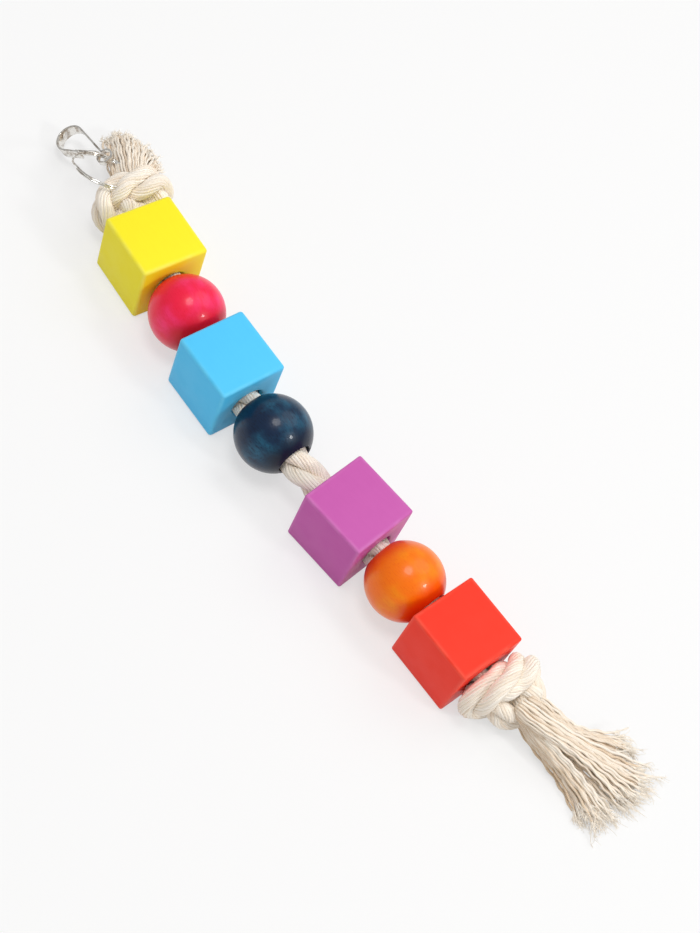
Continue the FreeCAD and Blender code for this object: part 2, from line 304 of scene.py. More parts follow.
def new_block(name, rounding, heading, paint, thin_paint_and_highlight, deep, slot):
    centre = bead_middle(name)
    bpy.ops.object.select_all(action="DESELECT")
    bpy.ops.mesh.primitive_cube_add(size=block_edge)
    piece = bpy.context.object
    piece.name = name + "_painted"
    soften = piece.modifiers.new("broken_edges", "BEVEL")
    soften.width = rounding
    soften.segments = 5
    soften.limit_method = "NONE"
    apply_modifiers(piece)
    bpy.ops.mesh.primitive_cylinder_add(
        vertices=bead_segments, radius=bore_diameter / 2, depth=2 * block_edge, rotation=(0, math.pi / 2, 0)
    )
    drill = bpy.context.object
    bore = piece.modifiers.new("bore", "BOOLEAN")
    bore.operation = "DIFFERENCE"
    bore.object = drill
    bpy.ops.object.select_all(action="DESELECT")
    piece.select_set(True)
    apply_modifiers(piece)
    bpy.data.objects.remove(drill)
    bpy.ops.object.mode_set(mode="EDIT")
    bpy.ops.mesh.select_all(action="DESELECT")
    bpy.ops.object.mode_set(mode="OBJECT")
    for edge in piece.data.edges:
        ends = [piece.data.vertices[index].co for index in edge.vertices]
        at_mouth = all(abs(abs(end.x) - block_edge / 2) < 1e-5 for end in ends)
        round_bore = all(abs(math.hypot(end.y, end.z) - bore_diameter / 2) < 1e-4 for end in ends)
        edge.select = at_mouth and round_bore
    bpy.ops.object.mode_set(mode="EDIT")
    bpy.ops.mesh.select_mode(type="EDGE")
    bpy.ops.mesh.bevel(offset=bore_mouth_rounding, segments=3, affect="EDGES")
    bpy.ops.object.mode_set(mode="OBJECT")
    piece.rotation_euler = (0, 0, math.radians(heading))
    piece.location = centre
    settle(piece)
    smooth_piece(piece, 35)
    made, nodes, links, shader = new_material(name + "_paint")
    effect = nodes.new("ShaderNodeGroup")
    effect.node_tree = painted_wood
    links.new(local_vector(nodes, links, centre, heading), effect.inputs["Vector"])
    effect.inputs["Paint"].default_value = (*paint, 1)
    effect.inputs["Thin Paint And Edge Highlight"].default_value = (*thin_paint_and_highlight, 1)
    effect.inputs["Deep Paint"].default_value = (*deep, 1)
    effect.inputs["Half Edge"].default_value = block_edge / 2
    bump = nodes.new("ShaderNodeBump")
    bump.inputs["Strength"].default_value = 0.15
    bump.inputs["Distance"].default_value = 0.00006
    links.new(effect.outputs["Height"], bump.inputs["Height"])
    links.new(bump.outputs["Normal"], shader.inputs["Normal"])
    links.new(effect.outputs["Color"], shader.inputs["Base Color"])
    links.new(effect.outputs["Roughness"], shader.inputs["Roughness"])
    shader.inputs["Specular IOR Level"].default_value = 0.18
    piece.data.materials.append(made)
    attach(piece, name)
    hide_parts(name)


# Each block's second colour is its paler edge colour: thin paint, and also a painted highlight along the
# edges.
yellow_colours = ((1.0, 0.88, 0.022), (1.0, 0.95, 0.22), (0.90, 0.72, 0.014))
new_block("yellow_block", 1.2 * MM, -3.9, *yellow_colours, "yellow_paint")
blue_colours = ((0.095, 0.61, 1.0), (0.22, 0.75, 1.0), (0.06, 0.50, 0.88))
new_block("blue_block", 1.2 * MM, -1.3, *blue_colours, "blue_paint")
purple_colours = ((0.60, 0.115, 0.44), (0.74, 0.28, 0.60), (0.50, 0.08, 0.36))
new_block("purple_block", 0.8 * MM, 5.5, *purple_colours, "purple_paint")
red_colours = ((1.0, 0.042, 0.018), (1.0, 0.16, 0.10), (0.84, 0.028, 0.012))
new_block("red_block", 0.8 * MM, 0.7, *red_colours, "red_paint")


# Stained balls
# Three 26 mm balls turned from hardwood and drilled, soaked in dye that the end grain round the
# bore takes up more deeply, then tumbled in clear lacquer.

ball_diameter = 26.0 * MM
ball_rings = 48
mouth_cut = 0.2 * MM  # past the bore, taken off the ball before its mouth is shaped
mouth_widening = 0.55 * MM
mouth_steps = ((0.30, 0.10), (0.25, 0.30), (0.0, 1.6))  # narrower and deeper, in millimetres

stained_wood, start, end = new_group(
    "stained_wood",
    [
        ("Vector", "NodeSocketVector", None),
        ("Stain", "NodeSocketColor", None),
        ("Pale Stain", "NodeSocketColor", None),
        ("Deep Stain", "NodeSocketColor", None),
        ("Pores", "NodeSocketFloat", 0.5),
    ],
    [
        ("Color", "NodeSocketColor"),
        ("Roughness", "NodeSocketFloat"),
        ("Height", "NodeSocketFloat"),
    ],
)
tree = stained_wood
blotch = noise_node(tree, start.outputs["Vector"], 75.0, 3.0)
figure = noise_node(tree, start.outputs["Vector"], 1.0, 5.0, (75, 420, 420), 0.6)
pores = noise_node(tree, start.outputs["Vector"], 1.0, 3.0, (420, 2300, 2300), 0.65)
split = tree.nodes.new("ShaderNodeSeparateXYZ")
tree.links.new(start.outputs["Vector"], split.inputs["Vector"])
along = math_node(tree, "ABSOLUTE", split.outputs["X"])
uneven = math_node(tree, "MULTIPLY", math_node(tree, "SUBTRACT", blotch, 0.5), 0.010)
end_grain = range_node(tree, math_node(tree, "ADD", along, uneven), 0.0050, 0.0115)
pale_blotch = range_node(tree, blotch, 0.42, 0.62)
pale_figure = range_node(tree, figure, 0.35, 0.6, 0.45, 1.0)
pale = math_node(tree, "MULTIPLY", pale_blotch, pale_figure)
colour = blend_colours(tree, pale, start.outputs["Stain"], start.outputs["Pale Stain"])
colour = blend_colours(tree, end_grain, colour, start.outputs["Deep Stain"])
speck = math_node(tree, "MULTIPLY", range_node(tree, pores, 0.50, 0.66), start.outputs["Pores"])
colour = blend_colours(tree, speck, colour, start.outputs["Deep Stain"])
tree.links.new(colour, end.inputs["Color"])
tree.links.new(range_node(tree, blotch, 0.3, 0.7, 0.28, 0.38), end.inputs["Roughness"])
pore_height = math_node(tree, "MULTIPLY", pores, -0.4)
figure_height = math_node(tree, "MULTIPLY", figure, 0.6)
height = math_node(tree, "ADD", pore_height, figure_height)
tree.links.new(height, end.inputs["Height"])


def new_ball(name, heading, stain, pale, deep, pore_depth, slot):
    centre = bead_middle(name)
    bpy.ops.object.select_all(action="DESELECT")
    bpy.ops.mesh.primitive_uv_sphere_add(
        segments=bead_segments, ring_count=ball_rings, radius=ball_diameter / 2, rotation=(0, math.pi / 2, 0)
    )
    piece = bpy.context.object
    piece.name = name + "_stained"
    settle(piece)
    bpy.ops.object.mode_set(mode="EDIT")
    bpy.ops.mesh.select_all(action="DESELECT")
    bpy.ops.mesh.select_mode(type="VERT")
    bpy.ops.object.mode_set(mode="OBJECT")
    for vertex in piece.data.vertices:
        vertex.select = math.hypot(vertex.co.y, vertex.co.z) < bore_diameter / 2 + mouth_cut
    bpy.ops.object.mode_set(mode="EDIT")
    bpy.ops.mesh.delete(type="VERT")
    bpy.ops.mesh.select_non_manifold(use_boundary=True)
    bpy.ops.object.mode_set(mode="OBJECT")
    for vertex in piece.data.vertices:
        if vertex.select:
            radius = math.hypot(vertex.co.y, vertex.co.z)
            wanted = bore_diameter / 2 + mouth_widening
            vertex.co.y *= wanted / radius
            vertex.co.z *= wanted / radius
            vertex.co.x = math.copysign(math.sqrt((ball_diameter / 2) ** 2 - wanted**2), vertex.co.x)
    bpy.ops.object.mode_set(mode="EDIT")
    for narrower, deeper in mouth_steps:
        bpy.ops.mesh.extrude_region_move()
        bpy.ops.object.mode_set(mode="OBJECT")
        for vertex in piece.data.vertices:
            if vertex.select:
                radius = math.hypot(vertex.co.y, vertex.co.z)
                vertex.co.y *= 1 - narrower * MM / radius
                vertex.co.z *= 1 - narrower * MM / radius
                vertex.co.x -= math.copysign(deeper * MM, vertex.co.x)
        bpy.ops.object.mode_set(mode="EDIT")
    bpy.ops.mesh.bridge_edge_loops(number_cuts=2)
    bpy.ops.mesh.select_all(action="SELECT")
    bpy.ops.mesh.normals_make_consistent(inside=False)
    bpy.ops.object.mode_set(mode="OBJECT")
    piece.rotation_euler = (0, 0, math.radians(heading))
    piece.location = centre
    settle(piece)
    smooth_piece(piece, 40)
    made, nodes, links, shader = new_material(name + "_stain")
    effect = nodes.new("ShaderNodeGroup")
    effect.node_tree = stained_wood
    links.new(local_vector(nodes, links, centre, heading), effect.inputs["Vector"])
    effect.inputs["Stain"].default_value = (*stain, 1)
    effect.inputs["Pale Stain"].default_value = (*pale, 1)
    effect.inputs["Deep Stain"].default_value = (*deep, 1)
    effect.inputs["Pores"].default_value = pore_depth
    bump = nodes.new("ShaderNodeBump")
    bump.inputs["Strength"].default_value = 0.7
    bump.inputs["Distance"].default_value = 0.00014
    links.new(effect.outputs["Height"], bump.inputs["Height"])
    links.new(bump.outputs["Normal"], shader.inputs["Normal"])
    links.new(effect.outputs["Color"], shader.inputs["Base Color"])
    links.new(effect.outputs["Roughness"], shader.inputs["Roughness"])
    shader.inputs["Specular IOR Level"].default_value = 0.24
    shader.inputs["Coat Weight"].default_value = 0.3
    shader.inputs["Coat Roughness"].default_value = 0.05
    shader.inputs["Coat IOR"].default_value = 1.35
    piece.data.materials.append(made)
    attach(piece, name)
    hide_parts(name)


pink_colours = ((0.93, 0.012, 0.060), (1.0, 0.035, 0.17), (0.76, 0.004, 0.012))
new_ball("pink_ball", -9.8, *pink_colours, 0.25, "pink_stain")
navy_colours = ((0.003, 0.018, 0.055), (0.014, 0.10, 0.18), (0.002, 0.007, 0.022))
new_ball("navy_ball", 1.3, *navy_colours, 0.6, "navy_stain")
orange_colours = ((1.0, 0.185, 0.0008), (1.0, 0.27, 0.002), (0.82, 0.05, 0.0006))
new_ball("orange_ball", 3.3, *orange_colours, 0.2, "orange_stain")


# Cotton rope
# One length of soft white cotton rope: three strands laid left-handed, each of fourteen slack yarns
# twisted the other way, so that the yarns show nearly in line with the rope. It runs from the top
# tassel through the top knot, the seven beads and the bottom knot to the bottom tassel.

strand_radius = 2.75 * MM
strand_reach = 3.0 * MM
lay_length = 40.0 * MM
yarn_lay_length = 27.0 * MM
yarns_in_strand = 14
yarn_radius = 0.55 * MM
core_share = 0.84  # of the strand's radius
yarn_place_share = 0.79  # of the strand's radius, to the middle of its yarns
knot_squeeze = 0.97
step_length = 0.9 * MM

top_knot_points = [
    (-113.9, 15.4, 10.2),
    (-111.1, 11.9, 12.75),
    (-103.7, 11.5, 12.0),
    (-100.2, 5.6, 6.5),
    (-102.5, -1.3, 6.8),
    (-107.7, -3.4, 12.4),
    (-113.6, 2.6, 19.0),
    (-113.6, 9.4, 20.5),
    (-112.4, 16.0, 19.0),
    (-107.5, 18.9, 12.4),
    (-107.6, 16.5, 6.8),
    (-108.2, 9.4, 4.9),
    (-108.4, 4.3, 9.0),
    (-105.0, 1.5, 12.75),
    (-95.5, 0.9, 12.75),
]
bead_line_points = [
    (-69.8, -0.9, 12.75),
    (-45.9, -5.0, 12.75),
    (-19.0, -5.6, 12.75),
    (12.3, -4.9, 12.75),
    (45.4, -1.7, 12.75),
    (70.1, -0.3, 12.75),
]
bottom_knot_points = [
    (95.9, 0.0, 12.75),
    (98.2, 0.0, 12.75),
    (107.2, -0.5, 9.3),
    (113.0, 5.0, 7.5),
    (112.5, 12.8, 10.5),
    (105.0, 15.0, 14.0),
    (100.0, 9.5, 17.4),
    (99.8, 2.8, 18.4),
    (100.2, -3.9, 17.8),
    (100.8, -9.2, 12.5),
    (100.2, -6.8, 7.2),
    (100.0, 0.7, 5.5),
    (102.0, 6.2, 9.3),
    (107.8, 7.1, 12.75),
    (111.2, 8.1, 12.2),
]
rope_start = (-95.5, 0.9, 12.75)
rope_end = (95.9, 0.0, 12.75)


def toy_place(point):
    """A point of the toy's own drawing, in millimetres from its middle, as a place on the table."""
    return np.array(point, float) * MM + np.array(frame_shift)


def route_line(name, points, resolution):
    """The smooth line that a rope follows: its NURBS spline, read back as points."""
    data = bpy.data.curves.new(name, "CURVE")
    data.dimensions = "3D"
    data.resolution_u = resolution
    spline = data.splines.new("NURBS")
    spline.points.add(len(points) - 1)
    for point, place in zip(spline.points, points):
        point.co = (*toy_place(place), 1.0)
    spline.order_u = 3
    spline.use_endpoint_u = True
    guide = bpy.data.objects.new(name, data)
    mesh = bpy.data.meshes.new_from_object(guide)
    line = np.array([vertex.co for vertex in mesh.vertices])
    bpy.data.meshes.remove(mesh)
    bpy.data.objects.remove(guide)
    bpy.data.curves.remove(data)
    return line


def run_of(line):
    """Length along a line at each of its points."""
    return np.concatenate(([0], np.cumsum(np.linalg.norm(np.diff(line, axis=0), axis=1))))


def read_evenly(line, step):
    """The line read at even steps."""
    run = run_of(line)
    places = np.linspace(0, run[-1], int(round(run[-1] / step)) + 1)
    return np.stack([np.interp(places, run, line[:, axis]) for axis in range(3)], axis=1)


def unit_rows(rows):
    return rows / np.maximum(np.linalg.norm(rows, axis=1, keepdims=True), 1e-12)


def carried_frame(line):
    """Tangents of a line and two side vectors carried along it without turning about it."""
    tangent = unit_rows(np.gradient(line, axis=0))
    side = np.zeros_like(line)
    current = np.array((0.03, 0.02, 1.0))
    if abs(tangent[0][2]) > 0.9:
        current = np.array((1.0, 0.02, 0.03))
    for index, along in enumerate(tangent):
        current = current - along * np.dot(current, along)
        current = current / np.linalg.norm(current)
        side[index] = current
    return tangent, side, np.cross(tangent, side)


class Bundle:
    """Gathers many round yarns into one mesh, with a shade for each."""

    def __init__(self):
        self.points = []
        self.faces = []
        self.shades = []
        self.smooth = []
        self.count = 0

    def add(self, line, radius, sides, shade):
        _, side, other = carried_frame(line)
        turns = np.linspace(0, 2 * math.pi, sides, endpoint=False)
        ring = side[:, None, :] * np.cos(turns)[None, :, None]
        ring = ring + other[:, None, :] * np.sin(turns)[None, :, None]
        radius = np.broadcast_to(radius, (len(line),))
        rings = line[:, None, :] + ring * radius[:, None, None]
        self.points.append(rings.reshape(-1, 3))
        self.shades.append(np.full(len(line) * sides, shade))
        grid = np.arange(len(line) * sides).reshape(len(line), sides) + self.count
        near = grid[:-1]
        far = grid[1:]
        quads = np.stack([near, np.roll(near, -1, 1), np.roll(far, -1, 1), far], axis=2)
        self.faces.extend(quads.reshape(-1, 4).tolist())
        self.faces.append(grid[0][::-1].tolist())
        self.faces.append(grid[-1].tolist())
        self.smooth.extend([sides > 4] * (len(self.faces) - len(self.smooth)))
        self.count += len(line) * sides

    def piece(self, name, material, body, node):
        mesh = bpy.data.meshes.new(name)
        mesh.from_pydata(np.concatenate(self.points).tolist(), [], self.faces)
        layer = mesh.attributes.new("shade", "FLOAT", "POINT")
        layer.data.foreach_set("value", np.concatenate(self.shades).astype(np.float32))
        mesh.polygons.foreach_set("use_smooth", self.smooth)
        mesh.materials.append(material)
        mesh.update()
        made = bpy.data.objects.new(name, mesh)
        bpy.context.scene.collection.objects.link(made)
        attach(made, body)
        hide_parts(node)
        return made


cotton, nodes, links, shader = new_material("cotton_yarn")
shade = nodes.new("ShaderNodeAttribute")
shade.attribute_name = "shade"
coordinates = nodes.new("ShaderNodeTexCoord")
fibres = noise_node(cotton.node_tree, coordinates.outputs["Object"], 2600.0, 4.0, (1, 1, 1), 0.7)
soil = noise_node(cotton.node_tree, coordinates.outputs["Object"], 90.0, 3.0)
yarn_tone_and_painted_shade = math_node(cotton.node_tree, "MULTIPLY_ADD", soil, 0.5, -0.25)
yarn_tone_and_painted_shade = math_node(cotton.node_tree, "ADD", shade.outputs["Fac"], yarn_tone_and_painted_shade)
pale = range_node(cotton.node_tree, yarn_tone_and_painted_shade, 0.0, 1.0)
colour = blend_colours(cotton.node_tree, pale, (1.0, 0.93, 0.83, 1), (0.95, 0.83, 0.69, 1))
# Tones above 1 blend towards deep brown as painted shade, for the rope's core in the crevices between
# strands and for the lower tassel yarns. Tones up to 1 are each yarn's own random tone.
deep = range_node(cotton.node_tree, yarn_tone_and_painted_shade, 1.0, 2.0)
colour = blend_colours(cotton.node_tree, deep, colour, (0.72, 0.53, 0.34, 1))
fluff = range_node(cotton.node_tree, fibres, 0.42, 0.62, 0.0, 0.3)
colour = blend_colours(cotton.node_tree, fluff, colour, (0.99, 0.96, 0.91, 1))
links.new(colour, shader.inputs["Base Color"])
bump = nodes.new("ShaderNodeBump")
bump.inputs["Strength"].default_value = 0.5
bump.inputs["Distance"].default_value = 0.00015
links.new(fibres, bump.inputs["Height"])
links.new(bump.outputs["Normal"], shader.inputs["Normal"])
shader.inputs["Roughness"].default_value = 0.92
shader.inputs["Specular IOR Level"].default_value = 0.2
shader.inputs["Sheen Weight"].default_value = 0.3
shader.inputs["Sheen Roughness"].default_value = 0.5
shader.inputs["Sheen Tint"].default_value = (1.0, 0.97, 0.9, 1)

rope_line = route_line("rope_route", top_knot_points + bead_line_points + bottom_knot_points, 24)
rope_line = read_evenly(rope_line, step_length)
rope_run = run_of(rope_line)
start_index = int(np.argmin(np.linalg.norm(rope_line - toy_place(rope_start), axis=1)))
end_index = int(np.argmin(np.linalg.norm(rope_line - toy_place(rope_end), axis=1)))
into_knot = np.maximum(rope_run[start_index] - rope_run, rope_run - rope_run[end_index])
squeeze = 1 - (1 - knot_squeeze) * np.clip(into_knot / (9 * MM), 0, 1)

_, side, other = carried_frame(rope_line)
strands = []
for number in range(3):
    turn = 2 * math.pi * (number / 3 - rope_run / lay_length) + 0.6
    out = np.cos(turn)[:, None] * side + np.sin(turn)[:, None] * other
    strands.append(rope_line + out * (strand_reach * squeeze)[:, None])
strands = np.array(strands)


press_rounds = 160
push_share = 0.08  # of an overlap, in each round
smooth_share = 0.2  # of each neighbour, in each round
middle_pull = 0.003
bead_drift = 0.04 * MM  # towards the bead, in each round
edge_pull = 0.35
free_near_bead = 5 * MM  # of strand that the pressing leaves alone, and then eases in


def press_knot(strands, first, last, middle, reach, face, outward):
    """Draws one knot tight: its strands push each other apart inside the lump that they fill."""
    part = strands[:, first:last].copy()
    held = part.copy()
    middle = toy_place(middle)
    thick = strand_radius * knot_squeeze
    room = np.array(reach) * MM - thick * 0.9
    near = 2 * thick * 0.92
    count = part.shape[1]
    place = np.arange(count)
    far = np.abs(place[:, None] - place[None, :]) * step_length > 8 * MM
    from_bead = np.abs(place - (count - 1 if outward < 0 else 0)) * step_length
    inside = np.clip((from_bead - free_near_bead) / free_near_bead, 0, 1)
    for _ in range(press_rounds):
        push = np.zeros_like(part)
        for one in range(3):
            for two in range(3):
                apart = part[one][:, None, :] - part[two][None, :, :]
                distance = np.linalg.norm(apart, axis=2)
                close = (distance < near) & (distance > 1e-9)
                if one == two:
                    close &= far
                excess = np.where(close, near - distance, 0)
                way = apart / np.maximum(distance, 1e-9)[..., None]
                push[one] += push_share * np.sum(way * excess[..., None], axis=1)
        part = part + push
        neighbours = part[:, :-2] + part[:, 2:]
        part[:, 1:-1] = (1 - 2 * smooth_share) * part[:, 1:-1] + smooth_share * neighbours
        part = part - middle_pull * (part - middle) * inside[None, :, None]
        part[:, :, 0] -= outward * bead_drift * inside[None, :]
        beyond = np.linalg.norm((part - middle) / room, axis=2)
        pull = edge_pull * np.maximum(1 - 1 / np.maximum(beyond, 1e-9), 0) * inside[None, :]
        part = part - (part - middle) * pull[..., None]
        clear = (part[:, :, 0] - toy_place((face, 0, 0))[0]) * outward - thick
        part[:, :, 0] -= outward * np.minimum(clear, 0) * inside[None, :]
        part[:, :, 2] = np.maximum(part[:, :, 2], thick)
        part[:, :2] = held[:, :2]
        part[:, -2:] = held[:, -2:]
    strands[:, first:last] = part


press_knot(strands, 0, start_index + 2, (-106.8, 7.8, 12.6), (12.5, 16.0, 13.8), -95.4, -1)
press_knot(strands, end_index - 1, len(rope_line), (106.5, 2.8, 11.8), (13.0, 18.5, 12.6), 95.2, 1)


def lay_yarns(bundle, first, last, seed):
    """The yarns of all three strands between two places on the rope."""
    chance = random.Random(seed)
    for number in range(3):
        centre = strands[number]
        _, beside, above = carried_frame(centre)
        cut = slice(first, last)
        # The core tube gets tone 1.5, which the cotton turns deep brown: painted shade for the crevices
        # between strands, where only the core shows.
        bundle.add(centre[cut], strand_radius * core_share * squeeze[cut], 10, 1.5)
        for yarn in range(yarns_in_strand):
            share = (yarn + chance.uniform(-0.12, 0.12)) / yarns_in_strand
            turn = 2 * math.pi * (share + rope_run / yarn_lay_length)
            ripple = 1 + 0.04 * np.sin(rope_run / (3.1 * MM) + chance.uniform(0, 6.28))
            spread = (strand_radius * yarn_place_share) * squeeze * ripple
            out = np.cos(turn)[:, None] * beside + np.sin(turn)[:, None] * above
            line = centre + out * spread[:, None]
            thick = yarn_radius * squeeze * chance.uniform(0.92, 1.08)
            bundle.add(line[cut], thick[cut], 6, chance.uniform(0.0, 1.0))


bundle = Bundle()
lay_yarns(bundle, start_index - 2, end_index + 3, 1)
rope = bundle.piece("rope_through_beads", cotton, "rope", "rope")


# Top knot
# An overhand knot pulled down against the yellow block. It stops the beads, and the split ring is
# threaded between its strands.

bundle = Bundle()
lay_yarns(bundle, 0, start_index - 1, 2)
top_knot = bundle.piece("top_overhand_knot", cotton, "rope", "top_knot")


# Bottom knot
# The same overhand knot in the same cotton rope, at its other end. It is pulled down against the
# red block and keeps the beads on.

bundle = Bundle()
lay_yarns(bundle, end_index + 2, len(rope_line), 3)
bottom_knot = bundle.piece("bottom_overhand_knot", cotton, "rope", "bottom_knot")


# Bottom tassel
# The rope's long end, unlaid into its yarns. They keep the waves of the lay, lie on each other in
# a fan down to the table, and end in soft brushes of loose fibre.

upper_guides = [
    [
        (109.7, 9.8, 15.0), (113.8, 12.7, 14.0), (118.2, 14.8, 12.0), (121.9, 17.1, 9.0),
        (127.2, 21.1, 6.0), (131.9, 27.3, 4.0), (136.4, 31.7, 3.0), (140.7, 34.1, 2.0),
    ],
    [
        (109.8, 6.3, 17.0), (115.3, 7.3, 17.0), (120.5, 10.9, 15.5), (125.0, 14.2, 13.0),
        (130.7, 18.8, 10.0), (135.0, 24.8, 8.0), (140.7, 27.7, 5.5), (143.3, 27.4, 3.5),
    ],
    [
        (109.2, 3.0, 17.5), (114.5, 4.3, 17.5), (120.2, 7.4, 16.0), (126.6, 11.2, 14.0),
        (133.5, 15.4, 11.5), (138.6, 19.3, 9.0), (144.5, 21.9, 6.5), (149.9, 28.9, 4.0),
        (155.0, 33.2, 2.0),
    ],
    [
        (109.5, 1.3, 16.5), (114.8, 1.8, 17.0), (119.6, 4.5, 16.0), (125.8, 7.6, 14.5),
        (132.9, 11.8, 11.5), (138.0, 15.4, 9.5), (143.4, 18.5, 7.0), (151.5, 21.7, 4.5),
        (156.0, 25.5, 2.5),
    ],
    [
        (111.0, 0.7, 14.0), (115.8, 1.9, 15.0), (121.7, 3.3, 14.5), (127.0, 6.3, 13.0),
        (133.0, 8.9, 11.0), (137.8, 12.7, 9.0), (144.0, 12.4, 6.5), (150.5, 15.0, 4.0),
        (157.7, 17.8, 2.0),
    ],
]
lower_guides = [
    [
        (111.4, 3.5, 14.0), (118.9, 3.8, 13.5), (126.5, 5.7, 12.0), (133.6, 7.8, 10.0),
        (140.7, 9.1, 7.5), (147.2, 10.2, 5.0), (153.0, 11.5, 3.5), (156.5, 12.0, 2.5),
    ],
    [
        (111.5, 3.8, 11.0), (119.1, 3.1, 10.5), (127.4, 3.9, 9.0), (134.6, 5.2, 7.0),
        (141.5, 6.5, 5.5), (147.4, 6.2, 4.0), (154.0, 5.5, 2.5),
    ],
    [
        (112.0, 4.3, 7.0), (118.5, 3.7, 6.5), (127.1, 4.1, 5.0), (134.4, 5.4, 3.5),
        (140.5, 5.3, 2.6), (145.9, 3.3, 2.0), (151.1, 0.8, 1.6),
    ],
]
under_guides = [
    [
        (112.0, 4.6, 11.0), (119.0, 5.4, 10.5), (127.0, 8.6, 8.5), (134.0, 11.5, 6.0),
        (141.0, 13.4, 4.0), (147.5, 15.0, 2.5), (153.5, 16.5, 1.5),
    ],
    [
        (112.0, 3.5, 10.0), (119.0, 4.2, 9.5), (127.0, 6.0, 7.5), (134.0, 8.0, 5.5),
        (141.0, 9.5, 3.5), (147.5, 10.8, 2.3), (153.5, 12.5, 1.5),
    ],
]
yarn_wave_length = 7.0 * MM
tassel_yarn_radius = 0.47 * MM
yarn_swing = 0.3 * MM
bottom_fray_reach = 5.5 * MM
# Layers of yarns: how many, how deep below the guides, and share of the full length.
upper_layers = [(16, 0.0, 1.0), (16, 0.9 * MM, 0.99), (16, 1.8 * MM, 0.97), (12, 2.8 * MM, 0.94)]
lower_layers = [(9, 0.0, 1.0), (9, 0.8 * MM, 0.99), (8, 1.7 * MM, 0.97), (6, 2.6 * MM, 0.94)]
under_layers = [(6, 0.0, 1.0), (5, 0.8 * MM, 0.96)]


def guide_at(guides, across, places):
    """A line between the guides, read at shares of its length."""
    index = min(int(across), len(guides) - 2)
    mix = across - index
    lines = []
    for guide in guides[index : index + 2]:
        guide = np.array([toy_place(point) for point in guide])
        share = run_of(guide) / run_of(guide)[-1]
        bend = [np.polyfit(share, guide[:, axis], 4) for axis in range(3)]
        lines.append(np.stack([np.polyval(axis, places) for axis in bend], axis=1))
    return lines[0] * (1 - mix) + lines[1] * mix


def fray(bundle, line, chance, plies, fibres, reach):
    """The yarn's cut end opens into its plies and these into loose fibres."""
    along = unit_rows((line[-1] - line[-5])[None])[0]
    for _ in range(plies):
        places = np.linspace(0, 1, 8)[:, None]
        drift = np.array([chance.gauss(0, 0.13) for _ in range(3)])
        curl = np.array([chance.gauss(0, 0.16) for _ in range(3)])
        long = reach * chance.uniform(0.45, 1.0)
        ply = line[-3] + long * (places * (along + drift) + places**2 * curl)
        ply[:, 2] = np.maximum(ply[:, 2], 0.3 * MM)
        bundle.add(ply, np.linspace(0.30, 0.12, 8) * MM, 4, chance.uniform(-0.4, 0.5))
        for _ in range(fibres):
            start = ply[chance.randint(2, 7)]
            spread = np.array([chance.gauss(0, 0.32) for _ in range(3)])
            bend = np.array([chance.gauss(0, 0.3) for _ in range(3)])
            places_short = np.linspace(0, 1, 4)[:, None]
            long = reach * chance.uniform(0.2, 0.45)
            fibre = start + long * (places_short * (along + spread) + places_short**2 * bend)
            fibre[:, 2] = np.maximum(fibre[:, 2], 0.15 * MM)
            bundle.add(fibre, np.linspace(0.12, 0.06, 4) * MM, 3, -0.6)


def fan_of_yarns(bundle, guides, layers, seed, reach, swing):
    """Layers of waving yarns between the guides; the lower layers are shorter, and darker as painted shade
    under the upper ones.
    """
    chance = random.Random(seed)
    last = len(guides) - 1
    places = np.linspace(0, 1, 52)
    for count, depth, shorter in layers:
        for number in range(count):
            across = last * (number + 0.5 + chance.uniform(-0.3, 0.3)) / count
            across = min(max(across, 0.0), last - 1e-6)
            end = chance.uniform(0.78, 0.95) * shorter
            line = guide_at(guides, across, places * end)
            run = run_of(line)
            share = run / run[-1]
            phase = across * 1.2 + chance.gauss(0, 0.4)
            length = yarn_wave_length * chance.uniform(0.8, 1.3)
            turn = 2 * math.pi * run / length + phase
            grown = swing * chance.uniform(0.4, 1.3) * (0.45 + 0.55 * share)
            along = unit_rows(np.gradient(line, axis=0))
            level = unit_rows(np.cross(along, (0, 0, 1)))
            upright = np.cross(level, along)
            stray = share**2 * chance.gauss(0, 1.1) * MM
            sunk = (number % 2) * 0.5 * MM + chance.uniform(0, 0.6) * MM
            line = line + (grown * np.sin(turn) + stray)[:, None] * level
            line = line + (0.6 * grown * np.cos(turn))[:, None] * upright
            line[:, 2] -= depth + sunk * (1 - share)
            taper = np.interp(share, (0, 0.4, 0.85, 1), (0.72, 0.92, 1, 0.7))
            thick = tassel_yarn_radius * chance.uniform(0.8, 1.15) * taper
            line[:, 2] = np.maximum(line[:, 2], thick + 0.1 * MM)
            # Each yarn has a random tone. It is raised above the rope's to paint the shade between the
            # yarns, and raised further in the lower layers as painted shade under the upper ones.
            yarn_tone_and_painted_shade = chance.uniform(0.2, 1.5) + min(depth / (3.5 * MM), 0.5)
            bundle.add(line, thick, 7, yarn_tone_and_painted_shade)
            fray(bundle, line, chance, 5, 4, reach)


bundle = Bundle()
fan_of_yarns(bundle, upper_guides, upper_layers, 4, bottom_fray_reach, yarn_swing)
fan_of_yarns(bundle, lower_guides, lower_layers, 6, bottom_fray_reach, yarn_swing)
fan_of_yarns(bundle, under_guides, under_layers, 7, bottom_fray_reach, yarn_swing)
bottom_tassel = bundle.piece("bottom_yarn_tassel", cotton, "rope", "bottom_tassel")


# Top tassel
# The rope's short end, unlaid the same way. It comes out wide behind the knot, under the split
# ring and beside the hook.

